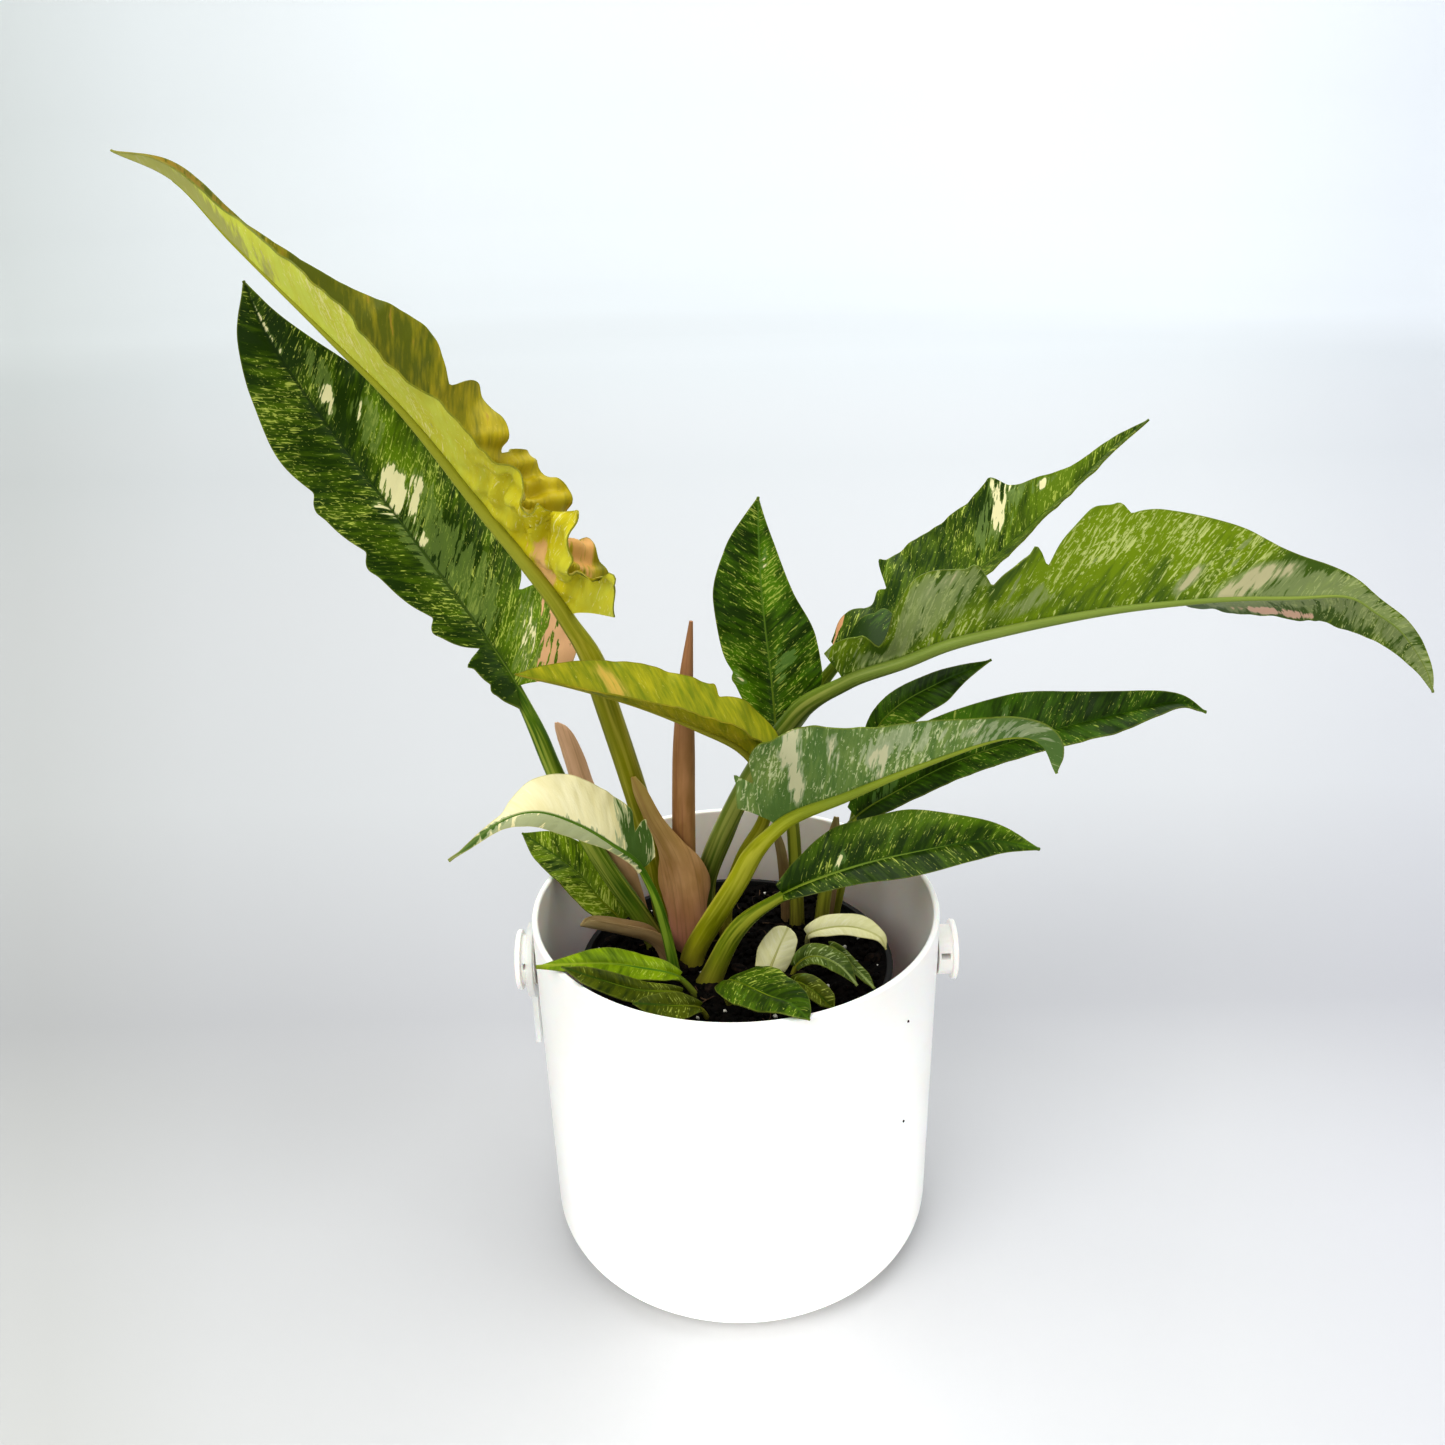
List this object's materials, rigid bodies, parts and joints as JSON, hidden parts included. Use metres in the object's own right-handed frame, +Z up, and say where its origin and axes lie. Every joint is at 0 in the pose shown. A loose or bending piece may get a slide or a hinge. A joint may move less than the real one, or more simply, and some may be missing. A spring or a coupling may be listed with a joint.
{
  "type": "potted plant",
  "caption": "Variegated philodendron with long lobed leaves in a nursery pot, standing in a round cover pot with strap pegs.",
  "frame": {"origin": "centre of the cover pot's flat underside", "axes": "+Z up; X runs through the two strap pegs, which is also the way the long leaves spread; -Y is the side seen in the picture"},
  "size_m": [0.4478, 0.1613, 0.4327],
  "materials": {
    "white_plastic": "satin",
    "clear_strap": "translucent",
    "black_plastic": "satin",
    "potting_soil": "rough",
    "leaf_green": "satin",
    "leaf_olive": "satin",
    "leaf_cream": "satin",
    "sheath_pink": "matt"
  },
  "bodies": {
    "root": {"cover_pot": "white_plastic", "leaf_back_right": "leaf_green", "leaf_centre": "leaf_green", "leaf_cream": "leaf_cream", "leaf_cream_right": "leaf_cream", "leaf_cream_stub": "leaf_cream", "leaf_front_bright": "leaf_green", "leaf_front_dark": "leaf_green", "leaf_front_olive": "leaf_green", "leaf_grey_green": "leaf_green", "leaf_left": "leaf_green", "leaf_long_right": "leaf_green", "leaf_low_right": "leaf_green", "leaf_olive": "leaf_olive", "leaf_over_rim": "leaf_green", "leaf_pale_arched": "leaf_green", "leaf_pale_narrow": "leaf_green", "leaf_pot_left": "leaf_green", "leaf_right": "leaf_green", "leaf_small_back": "leaf_green", "leaf_small_dark": "leaf_green", "leaf_tall_left": "leaf_olive", "new_leaf_spike": "sheath_pink", "nursery_pot": "black_plastic", "sheath_low": "sheath_pink", "sheath_right": "sheath_pink", "sheath_tall": "sheath_pink", "sheath_thin": "sheath_pink", "sheath_wide": "sheath_pink", "soil": "potting_soil", "strap_eyelet": "clear_strap", "strap_peg_left": "white_plastic", "strap_peg_right": "white_plastic"}
  },
  "joints": []
}
